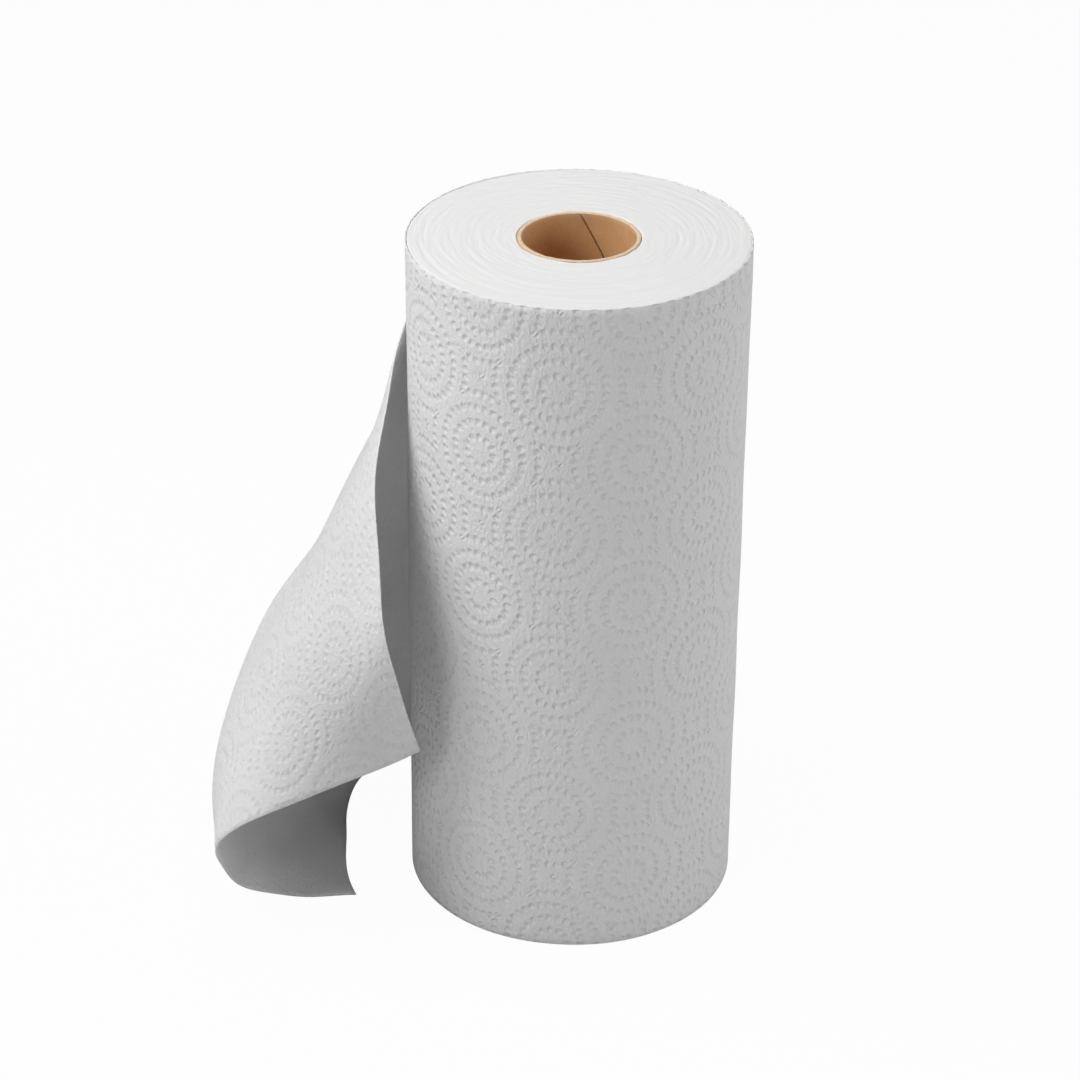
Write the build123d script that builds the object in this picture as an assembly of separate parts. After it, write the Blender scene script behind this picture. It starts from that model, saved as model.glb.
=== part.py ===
"""A roll of paper towel standing on end, with about one sheet pulled loose.

Millimetres. The origin is on the roll's axis, level with its lower end, and +Z runs up the roll.
-Y is the front, and the loose end hangs at the left, towards -X.
"""
from build123d import *

import os

import numpy as np

# Sizes of the roll
web_width = 279.4  # height of the roll, and the width the paper was slit to
roll_radius = 65.5  # outside of the last turn
paper_thickness = 1.0  # two embossed plies with the loft between them

# Sizes of the tube
core_radius = 23.3  # outside of the tube
core_wall = 1.6
winding_clearance = 0.3  # between the tube and the first turn

# The loose end is one sheet, bent in two directions. Four lines run along it, from the last turn
# to the cut end: the lower edge, a line a third of the way up the web, a line two thirds of the
# way up, and the upper edge. A station of a line is its angle round the roll in degrees, its
# stand-off from the roll's side, and its height as a share of the web's width.
lower_edge = [(45, -0.5, 0), (77, 9, 0.003), (106, 28, 0.01), (131, 36, 0.012),
              (152, 38, 0.009), (173, 29, 0.006), (202, 28, 0.005)]
third_up = [(45, -0.5, 0.333), (74, 8, 0.333), (101, 44, 0.337), (126, 66, 0.325),
            (151, 69, 0.252), (174, 76, 0.145), (197, 73, 0.035)]
two_thirds_up = [(45, -0.5, 0.667), (74, 4, 0.667), (107, 26, 0.66), (140, 28, 0.595),
                 (171, 39, 0.498), (193, 60, 0.378), (211, 84, 0.222)]
upper_edge = [(45, -0.5, 1), (74, 1.5, 0.992), (120, 6, 0.963), (163, 2, 0.86),
              (204, 16, 0.73), (227, 38, 0.545), (226, 19, 0.315)]
loose_lines = [lower_edge, third_up, two_thirds_up, upper_edge]
steps_along = 30
steps_across = 10


def spline_weights(stations, steps):
    """Weights that turn values at equally spaced stations into a natural cubic spline's values."""
    bend = 4 * np.eye(stations) + np.eye(stations, k=1) + np.eye(stations, k=-1)
    turn = 6 * (np.eye(stations, k=1) + np.eye(stations, k=-1)) - 12 * np.eye(stations)
    for end in (0, -1):
        bend[end] = np.eye(stations)[end]
        turn[end] = 0
    second = np.linalg.solve(bend, turn)
    place = np.linspace(0, stations - 1, steps + 1)
    span = np.minimum(place.astype(int), stations - 2)
    after = (place - span)[:, None]
    before = 1 - after
    line = before * np.eye(stations)[span] + after * np.eye(stations)[span + 1]
    return line + ((before**3 - before) * second[span] + (after**3 - after) * second[span + 1]) / 6


def loose_sheet():
    """The loose end: a smooth face through the four lines, thickened towards its inner side."""
    stations = np.array(loose_lines, dtype=float)
    across = spline_weights(len(loose_lines), steps_across)
    along = spline_weights(len(lower_edge), steps_along)
    angle, stand_off, share = np.einsum("aj,bi,jik->kab", across, along, stations)
    radius = roll_radius + stand_off
    turned = np.radians(angle)
    height = web_width * share
    points = np.stack([radius * np.cos(turned), radius * np.sin(turned), height], axis=-1)
    outer_face = Face.make_surface_from_array_of_points(points.tolist(), min_deg=3)
    return Solid.thicken(outer_face, paper_thickness)


def towel_paper():
    """The paper: all the wound turns as one body, with the loose end still part of it."""
    turns = Cylinder(roll_radius, web_width, align=(Align.CENTER, Align.CENTER, Align.MIN))
    bore_radius = core_radius + winding_clearance
    bore = Cylinder(bore_radius, web_width, align=(Align.CENTER, Align.CENTER, Align.MIN))
    return turns - bore + loose_sheet()


def cardboard_core():
    """The tube the paper is wound on, as long as the paper is wide and open at both ends."""
    outside = Cylinder(core_radius, web_width, align=(Align.CENTER, Align.CENTER, Align.MIN))
    hole_radius = core_radius - core_wall
    hole = Cylinder(hole_radius, web_width, align=(Align.CENTER, Align.CENTER, Align.MIN))
    return outside - hole


os.makedirs("parts", exist_ok=True)
export_step(cardboard_core(), "parts/cardboard_core.step")
export_step(towel_paper(), "parts/towel_paper.step")
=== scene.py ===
import bpy
import numpy as np
from mathutils import Matrix, Vector


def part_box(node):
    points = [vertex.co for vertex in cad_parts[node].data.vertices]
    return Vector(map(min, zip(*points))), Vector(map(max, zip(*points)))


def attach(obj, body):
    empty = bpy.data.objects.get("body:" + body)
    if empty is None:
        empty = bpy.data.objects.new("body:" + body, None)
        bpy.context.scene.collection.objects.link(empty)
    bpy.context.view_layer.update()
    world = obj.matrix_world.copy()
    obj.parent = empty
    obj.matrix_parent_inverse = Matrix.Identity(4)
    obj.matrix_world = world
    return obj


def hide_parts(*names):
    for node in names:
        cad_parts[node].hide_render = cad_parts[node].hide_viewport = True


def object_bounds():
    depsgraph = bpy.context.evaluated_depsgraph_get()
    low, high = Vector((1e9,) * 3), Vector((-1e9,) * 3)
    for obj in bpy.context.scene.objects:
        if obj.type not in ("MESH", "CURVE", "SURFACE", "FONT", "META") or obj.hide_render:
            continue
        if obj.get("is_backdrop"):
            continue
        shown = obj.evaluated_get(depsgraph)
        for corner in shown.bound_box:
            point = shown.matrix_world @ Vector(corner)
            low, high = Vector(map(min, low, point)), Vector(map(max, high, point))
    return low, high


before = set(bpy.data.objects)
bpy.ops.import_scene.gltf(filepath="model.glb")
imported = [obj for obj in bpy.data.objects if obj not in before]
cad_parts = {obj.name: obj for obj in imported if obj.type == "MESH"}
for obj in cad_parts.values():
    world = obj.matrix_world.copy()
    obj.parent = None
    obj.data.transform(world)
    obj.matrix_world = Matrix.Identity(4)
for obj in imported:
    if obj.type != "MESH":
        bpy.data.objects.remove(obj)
cad_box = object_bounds()

# ---- Camera -----------------------------------------------------------------------------------
# It stands in front of the roll, a little over a metre away, and looks down on the upper end.

camera_place = Vector((0.0, -1.1632, 0.7927))
camera_down, camera_right, camera_roll = np.radians((28.974, -0.671, 0.554))
camera = bpy.data.objects.new("camera", bpy.data.cameras.new("camera"))
camera.data.sensor_width = 36
camera.data.lens = 112.33
camera.matrix_world = (Matrix.Translation(camera_place)
                       @ Matrix.Rotation(-camera_right, 4, "Z")
                       @ Matrix.Rotation(np.pi / 2 - camera_down, 4, "X")
                       @ Matrix.Rotation(camera_roll, 4, "Z"))
bpy.context.collection.objects.link(camera)
bpy.context.scene.camera = camera

# ---- Cardboard tube ---------------------------------------------------------------------------
# Two strips of brown board wound into a tube in a long spiral and glued. The inner strip's edges
# meet in a ragged line. The saw that cut the log to length left its end pale and a little furry.

core_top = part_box("cardboard_core")[1]
core_radius = core_top[0]
core_height = core_top[2]
core_wall = 0.0016
core_rounding = 0.00045  # of the sawn rim's two edges
sawn_depth = 0.0012  # how far in from an end the board shows the saw's work
seam_lead = 0.243  # height that the seam gains in one turn
seam_place = 0.25  # share of a turn, from +X, where the seam meets the upper end


def skin(name, places, flat, marks, ring=False, capped=False):
    """A mesh through a grid of points, one face for every four neighbours.

    places is (rows, columns, 3). Columns go round and the last meets the first. Where ring is
    true rows do too, and where capped is true the first and the last row are filled, each column
    joined to the one across from it. flat is (rows + 1, columns + 1, 2), each corner's place on
    the piece laid flat, in metres. marks holds named (rows, columns) numbers for the finish.
    """
    rows, columns = places.shape[:2]
    number = np.arange(rows * columns).reshape(rows, columns)
    number = np.pad(number, ((0, 1 if ring else 0), (0, 1)), mode="wrap")
    flat = flat[:len(number)]

    def corners(grid):
        return np.stack([grid[:-1, :-1], grid[1:, :-1], grid[1:, 1:], grid[:-1, 1:]], axis=2)

    faces = corners(number).reshape(-1, 4).tolist()
    spread = [corners(flat).reshape(-1, 2)]
    if capped:
        near = np.arange(1, columns // 2 - 1)
        quads = np.stack([near, near + 1, columns - near - 1, columns - near], -1)
        middle = columns // 2
        for row, turned in ((0, 1), (rows - 1, -1)):
            for cap in (quads, np.array([(0, 1, columns - 1), (middle - 1, middle, middle + 1)])):
                cap = cap[:, ::turned]
                faces += number[row, cap].tolist()
                spread.append(flat[row, cap].reshape(-1, 2))
    mesh = bpy.data.meshes.new(name)
    mesh.from_pydata(places.reshape(-1, 3).tolist(), [], faces)
    layer = mesh.uv_layers.new(name="flat")
    layer.data.foreach_set("uv", np.concatenate(spread).astype(np.float32).ravel())
    for mark, value in marks.items():
        stored = mesh.attributes.new(mark, "FLOAT", "POINT")
        stored.data.foreach_set("value", value.astype(np.float32).ravel())
    mesh.polygons.foreach_set("use_smooth", np.ones(len(faces), dtype=bool))
    piece = bpy.data.objects.new(name, mesh)
    bpy.context.collection.objects.link(piece)
    return piece


def waves(place, size, seed):
    """Smooth unevenness between about -1 and 1: twelve sine waves added up, each running in its
    own direction with a length near size. place is (..., 3)."""
    draw = np.random.default_rng(seed)
    direction = draw.normal(size=(12, 3))
    direction /= np.linalg.norm(direction, axis=1)[:, None]
    length = size * draw.uniform(0.6, 1.8, 12)
    phase = draw.uniform(0, 2 * np.pi, 12)
    return np.sin(place @ (direction / length[:, None]).T * 2 * np.pi + phase).sum(-1) / 3.5


def core_surface():
    """The tube: a closed outline of its wall, in radius and height, carried round the axis."""
    inner = core_radius - core_wall
    bend = np.radians(np.linspace(0, 90, 5))
    top, low = core_height - core_rounding, core_rounding
    upright = np.linspace(low, top, 60)
    outline = np.concatenate([
        np.stack([np.full(60, inner), upright], -1),
        np.stack([inner + core_rounding * (1 - np.cos(bend)),
                  top + core_rounding * np.sin(bend)], -1)[1:],
        np.stack([np.linspace(inner + core_rounding, core_radius - core_rounding, 5),
                  np.full(5, core_height)], -1)[1:-1],
        np.stack([core_radius - core_rounding * (1 - np.sin(bend)),
                  top + core_rounding * np.cos(bend)], -1),
        np.stack([np.full(8, core_radius), np.linspace(top, low, 8)], -1)[1:],
        np.stack([core_radius - core_rounding * (1 - np.cos(bend)),
                  low - core_rounding * np.sin(bend)], -1)[1:],
        np.stack([inner + core_rounding * (1 - np.sin(bend)),
                  low - core_rounding * np.cos(bend)], -1),
    ])[:-1]
    turn = np.linspace(0, 2 * np.pi, 241)[:-1]
    radius, height = outline[:, 0][:, None], outline[:, 1][:, None]
    places = np.stack([radius * np.cos(turn), radius * np.sin(turn), height + 0 * turn], -1)
    from_end = core_height / 2 - np.abs(height - core_height / 2)
    sawn = np.clip((sawn_depth - from_end) / sawn_depth, 0, 1) + 0 * turn
    furry = sawn * waves(places, 0.004, 3) * 0.00012
    places[..., 2] -= np.clip(furry, 0, 1) * np.sign(height - core_height / 2)
    places[..., :2] *= 1 + 0.0035 * np.sin(2 * turn + 0.4)[None, :, None]
    around = np.linspace(0, 2 * np.pi, 241) * inner
    flat = np.stack(np.broadcast_arrays(around[None, :], np.append(height, height[0])[:, None]), -1)
    inside = (radius < inner + 1e-6) + 0 * turn
    return places, flat, {"sawn": sawn, "inside": inside}


class Signal:
    """One socket of a finish. Arithmetic on signals adds Math nodes to that finish."""

    def __init__(self, tree, socket=None):
        self.tree = tree
        self.socket = socket

    def node(self, kind, settings=None, sockets=None, out=0):
        """Adds a node, makes its settings, then gives its sockets their values or links."""
        made = self.tree.nodes.new("ShaderNode" + kind)
        for name, value in (settings or {}).items():
            setattr(made, name, value)
        for name, value in (sockets or {}).items():
            if isinstance(value, Signal):
                self.tree.links.new(value.socket, made.inputs[name])
            else:
                made.inputs[name].default_value = value
        return Signal(self.tree, made.outputs[out] if made.outputs else None)

    def math(self, operation, *values):
        return self.node("Math", {"operation": operation}, dict(enumerate(values)))

    def __add__(self, other):
        return self.math("ADD", self, other)

    def __sub__(self, other):
        return self.math("SUBTRACT", self, other)

    def __rsub__(self, other):
        return self.math("SUBTRACT", other, self)

    def __mul__(self, other):
        return self.math("MULTIPLY", self, other)

    def __truediv__(self, other):
        return self.math("DIVIDE", self, other)

    def __pow__(self, other):
        return self.math("POWER", self, other)

    def __abs__(self):
        return self.math("ABSOLUTE", self)

    def __round__(self):
        return self.math("ROUND", self)

    __radd__ = __add__
    __rmul__ = __mul__

    def wrapped(self, half):
        """This value folded into the range from -half to half."""
        return self.math("WRAP", self, half, -half)

    def step(self, start, end):
        """0 up to start, 1 from end on, and a smooth rise between."""
        return self.node("MapRange", {"interpolation_type": "SMOOTHSTEP"},
                         {"Value": self, "From Min": start, "From Max": end})

    def parts(self):
        return [self.node("SeparateXYZ", None, {0: self}, out) for out in range(3)]

    def vector(self, x, y, z=0.0):
        return self.node("CombineXYZ", None, {0: x, 1: y, 2: z})

    def noise(self, place, scale, detail=2.0, roughness=0.5):
        return self.node("TexNoise", None, {"Vector": place, "Scale": scale, "Detail": detail,
                                            "Roughness": roughness})

    def blend(self, share, first, second):
        """A colour between two, by share."""
        return self.node("Mix", {"data_type": "RGBA"}, {0: share, 6: first, 7: second}, 2)


def finish(name):
    """An empty material, and the signal that its nodes are made from."""
    material = bpy.data.materials.new(name)
    material.use_nodes = True
    material.node_tree.nodes.clear()
    return material, Signal(material.node_tree)


def flat_place(make):
    """Where a point lies on the piece laid flat, in millimetres."""
    place = make.node("UVMap", {"uv_map": "flat"})
    return make.node("VectorMath", {"operation": "SCALE"}, {0: place, "Scale": 1000.0})


def mark(make, name):
    return make.node("Attribute", {"attribute_name": name}, None, 2)


def board():
    """Brown board: pressed fibres, dark specks, the seam between two windings, and a pale end."""
    material, make = finish("board")
    place = flat_place(make)
    along, up = place.parts()[:2]
    sawn, inside = mark(make, "sawn"), mark(make, "inside")
    lead = seam_lead * 1000
    turn = 2 * np.pi * (core_radius - core_wall) * 1000
    ragged = (make.noise(place, 0.9, 4.0, 0.7) - 0.5) * 2.4
    seam = (up - core_height * 1000 - (along / turn - seam_place) * lead + ragged).wrapped(lead / 2)
    seam_line = (1 - abs(seam).step(0.25, 0.95)) * inside
    lip = (1 - abs(seam - 1.6).step(0.3, 1.6)) * inside
    fibres = make.noise(make.vector(along * 0.5, up * 2.2), 1.6, 5.0, 0.65)
    cloud = make.noise(place, 0.12, 3.0, 0.55)
    specks = make.noise(place, 1.5, 1.0, 0.4).step(0.70, 0.76)
    specks = specks * make.noise(place, 0.16, 1.0).step(0.46, 0.62)
    tone = make.blend(fibres.step(0.25, 0.75), (0.600, 0.325, 0.140, 1), (0.730, 0.425, 0.205, 1))
    tone = make.blend(cloud.step(0.35, 0.7) * 0.4, tone, (0.78, 0.48, 0.25, 1))
    tone = make.blend(specks * 0.75, tone, (0.16, 0.075, 0.03, 1))
    tone = make.blend(lip * 0.35, tone, (0.74, 0.47, 0.25, 1))
    tone = make.blend(seam_line * 0.8, tone, (0.17, 0.075, 0.03, 1))
    pale = make.blend(make.noise(place, 2.2, 3.0, 0.6).step(0.3, 0.7), (0.74, 0.52, 0.33, 1),
                      (0.86, 0.70, 0.52, 1))
    tone = make.blend(sawn.step(0.35, 0.95), tone, pale)
    relief = fibres * 0.00008 - seam_line * 0.00030 + lip * 0.00008
    relief = relief + sawn * make.noise(place, 3.0, 3.0, 0.6) * 0.00012
    bump = make.node("Bump", None, {"Strength": 1.0, "Distance": 1.0, "Height": relief})
    shader = make.node("BsdfPrincipled", None, {
        "Base Color": tone, "Roughness": 0.86 - seam_line * 0.1, "Normal": bump,
        "Specular IOR Level": 0.3})
    make.node("OutputMaterial", None, {"Surface": shader})
    return material


core = skin("tube", *core_surface(), ring=True)
core.data.materials.append(board())
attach(core, "root")
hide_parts("cardboard_core")

# ---- Wound turns ------------------------------------------------------------------------------
# Two soft plies of white paper wound round the tube, turn on turn. The log saw cuts every turn at
# once, so the ends are flat, with each turn's edge a little higher or lower than the next.

web_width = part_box("towel_paper")[1][2]
roll_radius = 0.0655
winding_clearance = 0.0003
turn_pitch = 0.0005
sheet_thickness = 0.0005
lift_off = 45  # degrees round the roll, where the loose end leaves it
seat = 0.00022  # how far the last turn stands proud at that place
end_rounding = 0.0005
air_gap = 0.00004  # between the last turn and the one under it


def last_turn(angle):
    """The last turn's outer radius at an angle in degrees: a spiral one thickness deep."""
    return roll_radius + seat - sheet_thickness * (lift_off - angle) / 360


def turns_surface():
    """A closed outline of the wound paper, in radius and height, carried round the axis. Each end
    rises and falls from turn to turn, along a spiral."""
    bore = core_radius + winding_clearance
    bend = np.radians(np.linspace(0, 90, 5))
    turn = np.linspace(0, 2 * np.pi, 281)[:-1] + np.radians(lift_off)
    outside = last_turn(np.degrees(turn) - 360) - sheet_thickness - air_gap
    across = np.linspace(0, 1, 110)[:, None]
    across = bore + end_rounding / 2 + across * (outside - 1.5 * end_rounding - bore)
    end = np.concatenate([0 * outside[None, :] + bore, across,
                          outside - end_rounding * (1 - np.sin(bend[1:, None]))])
    drop = np.concatenate([[end_rounding / 2], np.zeros(110), end_rounding * (1 - np.cos(bend[1:]))])
    radius = np.concatenate([end, end[::-1]])
    depth = np.concatenate([drop, drop[::-1]])[:, None]
    upper = np.concatenate([np.ones(len(end)), np.zeros(len(end))])[:, None]
    wound = radius - turn_pitch * turn / (2 * np.pi)
    slow = np.stack([0.012 * np.cos(turn) + 0 * radius, 0.012 * np.sin(turn) + 0 * radius,
                     3 * wound], -1)
    ridges = waves(slow, 0.0075, 11) * 0.00009 + waves(slow * 3.1, 0.0075, 12) * 0.00006
    level = np.stack([radius * np.cos(turn), radius * np.sin(turn), 0 * radius + 0 * turn], -1)
    broad = waves(level, 0.05, 13)
    dip = depth + np.clip(0.00022 + ridges + 0.00012 * broad, 0, 1)
    height = np.where(upper > 0.5, web_width - dip, dip)
    places = np.stack([radius * np.cos(turn), radius * np.sin(turn), height], -1)
    flat = np.zeros((len(radius) + 1, 281, 2))
    flat[..., 0] = np.linspace(0, 2 * np.pi, 281)
    return places, flat, {}


def turn_edges():
    """White paper seen edge on: fine rings, some painted a little greyer as shade where a turn stands back.
    """
    material, make = finish("turn_edges")
    place = make.node("TexCoord", None, None, 3)
    x, y = place.parts()[:2]
    radius = (x * x + y * y) ** 0.5
    angle = make.math("ARCTAN2", y, x)
    wound = (radius - angle * (turn_pitch / (2 * np.pi))) * 1000
    about = make.vector(x / radius * 0.55, y / radius * 0.55, wound)
    rings = make.noise(about, 0.8, 3.0, 0.62)
    hair = make.noise(make.vector(x / radius * 3.0, y / radius * 3.0, wound), 2.6, 2.0, 0.6)
    fuzz = make.noise(place, 900.0, 3.0, 0.6)
    # Painted shade: the gaps and hairlines between turns are painted greyer, standing in for the shade that
    # falls there.
    painted_gap_shade = (1 - rings.step(0.30, 0.46)) * 0.75 + (1 - hair.step(0.28, 0.44)) * 0.4
    tone = make.blend(painted_gap_shade * 0.09, (0.872, 0.872, 0.868, 1), (0.52, 0.52, 0.52, 1))
    relief = rings * 0.00014 + hair * 0.00006 + fuzz * 0.00005
    bump = make.node("Bump", None, {"Strength": 0.8, "Distance": 1.0, "Height": relief})
    shader = make.node("BsdfPrincipled", None, {
        "Base Color": tone, "Roughness": 0.93 + fuzz * 0.05, "Normal": bump,
        "Specular IOR Level": 0.2})
    make.node("OutputMaterial", None, {"Surface": shader})
    return material


turns = skin("wound_turns", *turns_surface(), ring=True)
turns.data.materials.append(turn_edges())
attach(turns, "root")
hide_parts("towel_paper")

# ---- Outer turn and loose end -----------------------------------------------------------------
# The last turn and the sheet that has come away from it are one length of paper. The plies were
# pressed together between rollers, which left rings of small pits on the outer side.

turn_start = lift_off - 360  # where this length begins, under its own loose end
# Four lines run along the loose end, from the roll to the cut end: the lower edge, a third of the
# way up, two thirds of the way up, and the upper edge. A station is its angle round the roll in
# degrees, its stand-off from the roll's side in millimetres, and its share of the web's width.
lower_edge = [(45, -0.5, 0.002), (77, 9, 0.004), (106, 28, 0.01), (131, 36, 0.012),
              (152, 38, 0.009), (173, 29, 0.006), (202, 28, 0.005)]
third_up = [(45, -0.5, 0.333), (74, 8, 0.333), (101, 44, 0.337), (126, 66, 0.325),
            (151, 69, 0.252), (174, 76, 0.145), (197, 73, 0.035)]
two_thirds_up = [(45, -0.5, 0.667), (74, 4, 0.667), (107, 26, 0.66), (140, 28, 0.595),
                 (171, 39, 0.498), (193, 60, 0.378), (211, 84, 0.222)]
upper_edge = [(45, -0.5, 0.999), (74, 1.5, 0.992), (120, 6, 0.963), (163, 2, 0.86),
              (204, 16, 0.73), (227, 38, 0.545), (226, 19, 0.315)]
loose_lines = [lower_edge, third_up, two_thirds_up, upper_edge]
turn_steps = 260
loose_steps = 170
width_steps = 90
rosette_pitch = 61.4  # between rosettes in one upright line, in millimetres
rosette_along, rosette_up = -161.6, 62.3  # one rosette's middle on the flat paper
ring_gap = 6.0  # from one ring of pits to the next, in millimetres
pits_in_first_ring = 11
crinkle_size = 0.055
crinkle_wound, crinkle_loose = 0.00015, 0.0007  # height on the roll, and what the loose end adds
loosening = 0.05  # length over which the paper goes from wound to loose


def spline_weights(stations, steps):
    """Weights that turn values at equally spaced stations into a natural cubic spline's values."""
    bend = 4 * np.eye(stations) + np.eye(stations, k=1) + np.eye(stations, k=-1)
    turn = 6 * (np.eye(stations, k=1) + np.eye(stations, k=-1)) - 12 * np.eye(stations)
    for end in (0, -1):
        bend[end] = np.eye(stations)[end]
        turn[end] = 0
    second = np.linalg.solve(bend, turn)
    place = np.linspace(0, stations - 1, steps + 1)
    span = np.minimum(place.astype(int), stations - 2)
    after = (place - span)[:, None]
    before = 1 - after
    line = before * np.eye(stations)[span] + after * np.eye(stations)[span + 1]
    return line + ((before**3 - before) * second[span] + (after**3 - after) * second[span + 1]) / 6


def outer_face():
    """The paper's outer side as rows along its length and columns up its width.

    Round the roll it is a spiral that grows by one turn. Beyond, it is the spline surface through
    the four lines. Returns the places and the length along the flat paper at each row.
    """
    stations = np.array(loose_lines, dtype=float)
    up = spline_weights(len(loose_lines), width_steps)
    along = spline_weights(len(lower_edge), loose_steps)
    angle, stand_off, share = np.einsum("ai,bj,jik->kab", along, up, stations)
    soften = 0.8
    stand_off = (stand_off + np.sqrt(stand_off**2 + soften**2)) / 2
    turned = np.linspace(turn_start, lift_off, turn_steps + 1)[:-1, None]
    wound = (last_turn(turned) - roll_radius) * 1000
    angle = np.concatenate([turned + 0 * angle[:1], angle])
    stand_off = np.concatenate([wound + 0 * stand_off[:1], stand_off])
    share = np.concatenate([0 * turned + share[:1], share])
    angle = np.radians(angle)
    radius = roll_radius + stand_off / 1000
    places = np.stack([radius * np.cos(angle), radius * np.sin(angle), web_width * share], -1)
    step = np.linalg.norm(np.diff(places, axis=0), axis=-1).mean(1)
    length = np.concatenate([[0], np.cumsum(step)]) - step[:turn_steps].sum()
    return places, length


def paper_surface():
    """The paper: its outer face, and the same face moved inwards by its thickness, joined round
    all four edges by a rounded strip."""
    outer, length = outer_face()
    ahead = np.gradient(outer, axis=0)
    upward = np.gradient(outer, axis=1)
    outward = np.cross(ahead, upward)
    outward /= np.linalg.norm(outward, axis=-1, keepdims=True)
    width = np.linspace(0, web_width, width_steps + 1)
    spread = np.stack(np.broadcast_arrays(length[:, None], width[None, :]), -1)
    clear_of_roll = np.hypot(outer[..., 0], outer[..., 1]) - roll_radius
    loose = np.clip(length / loosening, 0, 1)[:, None] * np.clip(clear_of_roll / 0.006, 0, 1)
    crinkle = waves(np.concatenate([spread, 0 * spread[..., :1]], -1), crinkle_size, 21)
    crinkle = crinkle * (crinkle_wound + crinkle_loose * loose)
    outer = outer + outward * crinkle[..., None]
    inner = outer - outward * sheet_thickness
    middle = outer - outward * sheet_thickness / 2
    edge = sheet_thickness * 0.45
    upward /= np.linalg.norm(upward, axis=-1, keepdims=True)
    low = middle[:, :1] - edge * upward[:, :1]
    high = middle[:, -1:] + edge * upward[:, -1:]
    places = np.concatenate([low, outer, high, inner[:, ::-1]], axis=1)
    places[..., 2] = np.clip(places[..., 2], 0.0002, web_width)
    sides = np.concatenate([[0], np.ones_like(width), [0], -np.ones_like(width)])
    up = np.concatenate([[0], width, [web_width], width[::-1], [0]])
    flat = np.stack(np.broadcast_arrays(length[:, None], up[None, :]), -1)
    return places, flat, {"outside": sides + 0 * length[:, None]}


def embossed_paper(name):
    """White paper with rosettes of pits: each has rings a fixed step apart, with eleven more pits
    in each ring than in the one inside it, and ends where the next rosette is nearer. Light comes
    through the loose end, and through none of the wound paper."""
    material, make = finish(name)
    place = flat_place(make)
    along, up = place.parts()[:2]
    outside = mark(make, "outside")
    cell = rosette_pitch / np.sqrt(2)
    x = ((along - rosette_along + up - rosette_up) * np.sqrt(0.5)).wrapped(cell / 2)
    y = ((along - rosette_along - up + rosette_up) * np.sqrt(0.5)).wrapped(cell / 2)
    radius = (x * x + y * y) ** 0.5
    ring = round(radius / ring_gap)
    pits = make.math("ARCTAN2", y, x) / (2 * np.pi) * ring * pits_in_first_ring + ring * 0.5
    beside = pits.wrapped(0.5) * (2 * np.pi * ring_gap / pits_in_first_ring)
    across = radius - ring * ring_gap
    middle = make.math("MINIMUM", ring, 1.0)
    border = 1 - make.math("MAXIMUM", abs(x), abs(y)).step(cell / 2 - 0.9, cell / 2)
    pit = make.math("MAXIMUM", 1 - (abs(across) / 1.9) ** 2 - (abs(beside) / 1.5) ** 2, 0.0) ** 1.5
    groove = make.math("MAXIMUM", 1 - (abs(across) / 1.8) ** 2, 0.0)
    pressed = (pit * 0.85 + groove * 0.15) * middle * border
    crepe = make.noise(make.vector(along, up * 0.55), 0.75, 3.0, 0.62)
    cloud = make.noise(place, 0.045, 2.0, 0.5)
    side = outside * 0.65 + 0.35
    relief = crepe * 0.00085 - pressed * side * 0.00062 * (0.7 + cloud * 0.6)
    bump = make.node("Bump", None, {"Strength": 1.0, "Distance": 1.0, "Height": relief})
    tone = make.blend(cloud.step(0.3, 0.7), (0.862, 0.862, 0.858, 1), (0.880, 0.880, 0.877, 1))
    # Painted shade: the pits are painted a little greyer, standing in for the shade in their hollows.
    tone = make.blend(pressed * 0.05, tone, (0.70, 0.70, 0.70, 1))
    backed, free = [make.node("BsdfPrincipled", None, {
        "Base Color": tone, "Roughness": 0.90 + crepe * 0.08, "Normal": bump,
        "Specular IOR Level": 0.2, "Subsurface Weight": light_through,
        "Subsurface Radius": (1, 1, 1), "Subsurface Scale": 0.002})
        for light_through in (0.0, 0.85)]
    shader = make.node("MixShader", None, {0: along.step(15.0, 90.0), 1: backed, 2: free})
    make.node("OutputMaterial", None, {"Surface": shader})
    return material


sheet = skin("outer_sheet", *paper_surface(), capped=True)
sheet.data.materials.append(embossed_paper("embossed_paper"))
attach(sheet, "root")
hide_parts("towel_paper")

# ---- Floor and light --------------------------------------------------------------------------
# A white table under a wide soft light at the left, with a weaker one at the right.

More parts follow.
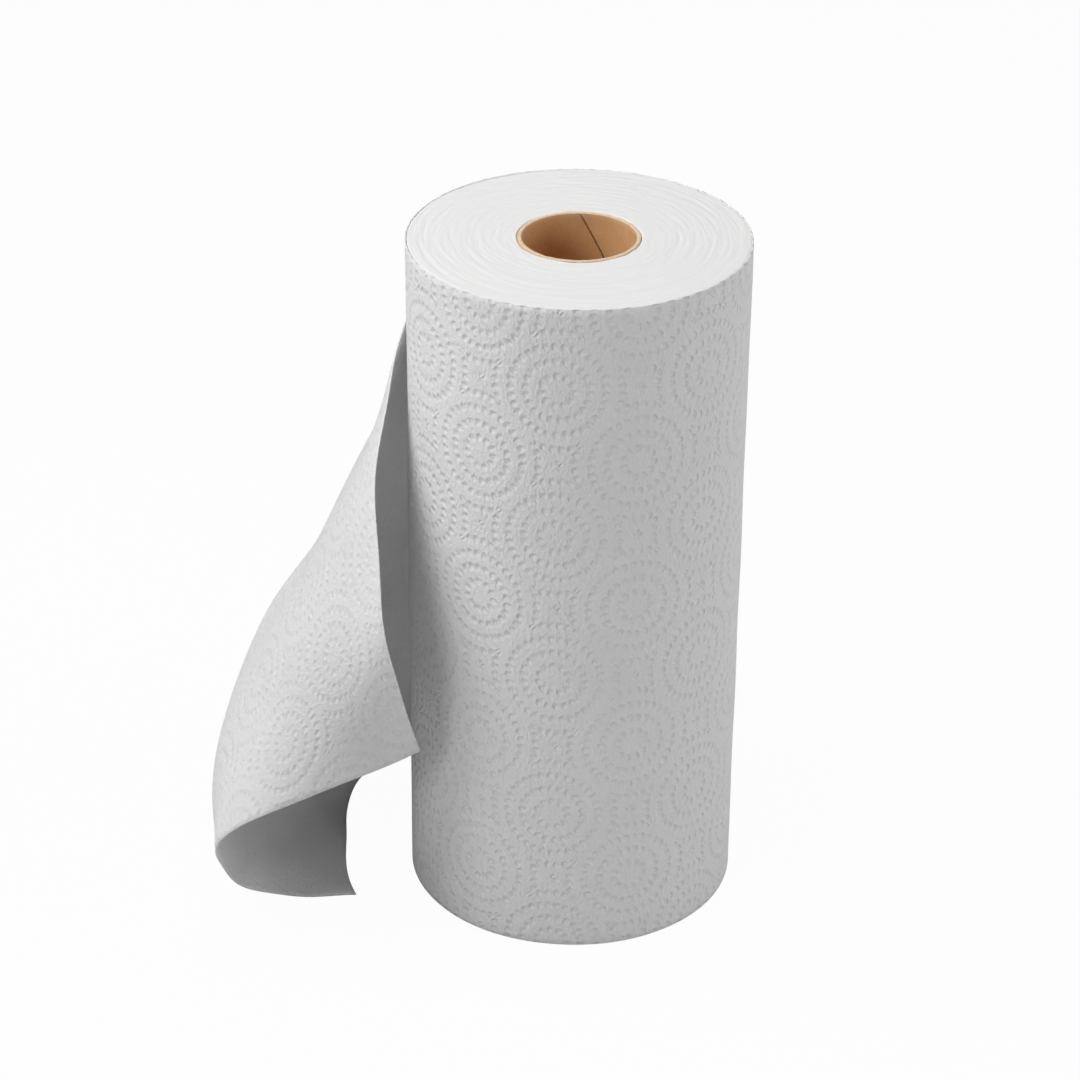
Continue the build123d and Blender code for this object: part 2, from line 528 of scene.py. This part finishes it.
floor_half = 6.0
floor_mesh = bpy.data.meshes.new("table")
floor_mesh.from_pydata([(-floor_half, -floor_half, 0), (floor_half, -floor_half, 0),
                        (floor_half, floor_half, 0), (-floor_half, floor_half, 0)], [], [(0, 1, 2, 3)])
table = bpy.data.objects.new("table", floor_mesh)
bpy.context.collection.objects.link(table)
table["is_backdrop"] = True


def table_white():
    """A matt white top that shows near white to the eye and keeps its shadow."""
    material, make = finish("table_white")
    path = [make.node("LightPath", None, None, name)
            for name in ("Is Camera Ray", "Is Glossy Ray", "Is Transmission Ray")]
    seen = make.math("MINIMUM", path[0] + path[1] + path[2], 1.0)
    matt = make.node("BsdfDiffuse", None, {"Color": (0.65, 0.65, 0.65, 1)})
    white = make.node("Emission", None, {"Color": (1, 1, 1, 1), "Strength": 1.0})
    shader = make.node("MixShader", None, {0: seen * 0.97, 1: matt, 2: white})
    make.node("OutputMaterial", None, {"Surface": shader})
    return material


table.data.materials.append(table_white())

world = bpy.data.worlds.new("studio")
world.use_nodes = True
world.node_tree.nodes.clear()
air = Signal(world.node_tree)
path = [air.node("LightPath", None, None, name)
        for name in ("Is Camera Ray", "Is Glossy Ray", "Is Transmission Ray")]
seen = air.math("MINIMUM", path[0] + path[1] + path[2], 1.0)
sky = air.node("Background", None, {"Color": (1, 1, 1, 1), "Strength": 0.08})
backdrop = air.node("Background", None, {"Color": (1, 1, 1, 1), "Strength": 1.0})
air.node("OutputWorld", None, {"Surface": air.node("MixShader", None, {0: seen, 1: sky, 2: backdrop})})
bpy.context.scene.world = world

aim = Vector((0, 0, web_width / 2))


def soft_light(name, azimuth, elevation, distance, width, height, watts):
    """A flat soft light aimed at the roll. Azimuth is degrees round the roll from +X."""
    lamp = bpy.data.lights.new(name, "AREA")
    lamp.shape = "RECTANGLE"
    lamp.size, lamp.size_y = width, height
    lamp.energy = watts
    turn, rise = np.radians((azimuth, elevation))
    away = Vector((np.cos(turn) * np.cos(rise), np.sin(turn) * np.cos(rise), np.sin(rise)))
    holder = bpy.data.objects.new(name, lamp)
    holder.matrix_world = (Matrix.Translation(aim + away * distance)
                           @ away.to_track_quat("Z", "Y").to_matrix().to_4x4())
    bpy.context.collection.objects.link(holder)


soft_light("key", 190, 50, 1.6, 1.3, 0.9, 16)
soft_light("front", 238, 25, 1.6, 0.5, 0.5, 4.5)
soft_light("fill", 355, 18, 1.6, 1.2, 0.9, 10)
soft_light("top", 90, 84, 1.6, 1.0, 1.0, 6)

bpy.context.scene.view_settings.view_transform = "Standard"

size = {"cad": [list(corner) for corner in cad_box], "visual": [list(corner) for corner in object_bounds()]}
